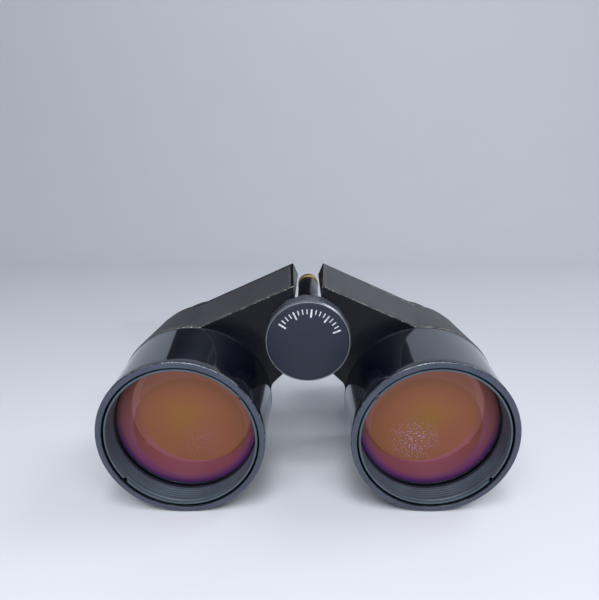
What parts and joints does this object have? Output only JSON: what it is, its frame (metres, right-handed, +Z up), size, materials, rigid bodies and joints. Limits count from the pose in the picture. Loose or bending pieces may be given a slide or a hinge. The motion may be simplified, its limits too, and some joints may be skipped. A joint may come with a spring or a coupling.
{
  "type": "binoculars",
  "caption": "Compact prism binoculars with a front focusing wheel, a central hinge between two sloping prism housings, flared eyecups and a dioptre ring.",
  "frame": {"origin": "on the ground plane below the middle of the binoculars, which lie on the lower edges of both objective rims and both eyecups", "axes": "+X towards the user's left half, +Y from the objective rims back to the eyecups, +Z up; the optical axes rise 6.75 degrees towards the eyecups"},
  "size_m": [0.102, 0.099, 0.0533],
  "materials": {
    "black_paint": "semi-gloss black stove enamel",
    "dark_anodised": "satin blue-black anodised",
    "steel": "machined, lightly oiled",
    "brass": "worn satin",
    "optical_glass": "polished, clear",
    "coated_glass": "polished, amber and violet coating",
    "leatherette": "fine-grained black leatherette",
    "rubber": "matte black"
  },
  "bodies": {
    "right_half": {"prism_housing_right": "black_paint", "objective_tube_right": "black_paint", "hood_ring_right": "dark_anodised", "entry_prism_right": "optical_glass", "return_prism_right": "optical_glass", "exit_prism_right": "optical_glass", "prism_plate_right": "steel", "rear_cover_right": "black_paint", "leatherette_right": "leatherette", "eyepiece_tube_right": "black_paint", "eyecup_right": "rubber", "strap_lug_right": "steel", "cover_screw_crest_right": "steel", "cover_screw_outer_right": "steel", "cover_screw_keel_right": "steel", "front_hinge_bush": "steel", "rear_hinge_pin": "steel", "hinge_barrel": "black_paint", "hinge_end_cap": "brass"},
    "left_half": {"prism_housing_left": "black_paint", "objective_tube_left": "black_paint", "hood_ring_left": "dark_anodised", "entry_prism_left": "optical_glass", "return_prism_left": "optical_glass", "exit_prism_left": "optical_glass", "prism_plate_left": "steel", "rear_cover_left": "black_paint", "leatherette_left": "leatherette", "eyepiece_tube_left": "black_paint", "ocular_cell_left": "dark_anodised", "field_lens_left": "optical_glass", "eye_lens_left": "optical_glass", "eyecup_left": "rubber", "strap_lug_left": "steel", "cover_screw_crest_left": "steel", "cover_screw_outer_left": "steel", "cover_screw_keel_left": "steel", "eyepiece_ring_left": "dark_anodised"},
    "focus_wheel_set": {"focus_wheel": "dark_anodised", "focus_wheel_face": "dark_anodised", "focus_spindle": "steel"},
    "focus_carriage_body": {"focus_carriage": "brass"},
    "right_objective": {"objective_cell_right": "dark_anodised", "objective_lens_right": "coated_glass", "focus_arm_right": "steel"},
    "left_objective": {"objective_cell_left": "dark_anodised", "objective_lens_left": "coated_glass", "focus_arm_left": "steel"},
    "dioptre_ring_body": {"dioptre_ring": "dark_anodised"},
    "right_ocular": {"ocular_cell_right": "dark_anodised", "field_lens_right": "optical_glass", "eye_lens_right": "optical_glass"}
  },
  "joints": [
    {"name": "ipd_hinge", "type": "hinge", "parent": "right_half", "child": "left_half", "pos_m": [0, -0.04932, 0.036], "axis": [0, 0.9931, 0.1175], "range_deg": [-8, 22]},
    {"name": "focus_turn", "type": "hinge", "parent": "right_half", "child": "focus_wheel_set", "pos_m": [0, -0.04932, 0.036], "axis": [0, 0.9931, 0.1175], "range_deg": [-180, 180]},
    {"name": "focus_carriage_slide", "type": "slide", "parent": "right_half", "child": "focus_carriage_body", "axis": [0, 0.9931, 0.1175], "range_m": [-0.0012, 0.0012]},
    {"name": "right_objective_slide", "type": "slide", "parent": "right_half", "child": "right_objective", "axis": [0, 0.9931, 0.1175], "range_m": [-0.0012, 0.0012]},
    {"name": "left_objective_slide", "type": "slide", "parent": "left_half", "child": "left_objective", "axis": [0, 0.9931, 0.1175], "range_m": [-0.0012, 0.0012]},
    {"name": "dioptre_turn", "type": "hinge", "parent": "right_half", "child": "dioptre_ring_body", "pos_m": [-0.034, -0.04576, 0.00591], "axis": [0, 0.9931, 0.1175], "range_deg": [-60, 60]},
    {"name": "right_ocular_slide", "type": "slide", "parent": "right_half", "child": "right_ocular", "axis": [0, 0.9931, 0.1175], "range_m": [-0.0008, 0.0008]}
  ],
  "couplings": [
    {"joint": "focus_turn", "follows": "focus_carriage_slide", "rad_per_m": 2617},
    {"joint": "right_objective_slide", "follows": "focus_carriage_slide", "ratio": 1},
    {"joint": "left_objective_slide", "follows": "focus_carriage_slide", "ratio": 1},
    {"joint": "dioptre_turn", "follows": "right_ocular_slide", "rad_per_m": 1308}
  ]
}
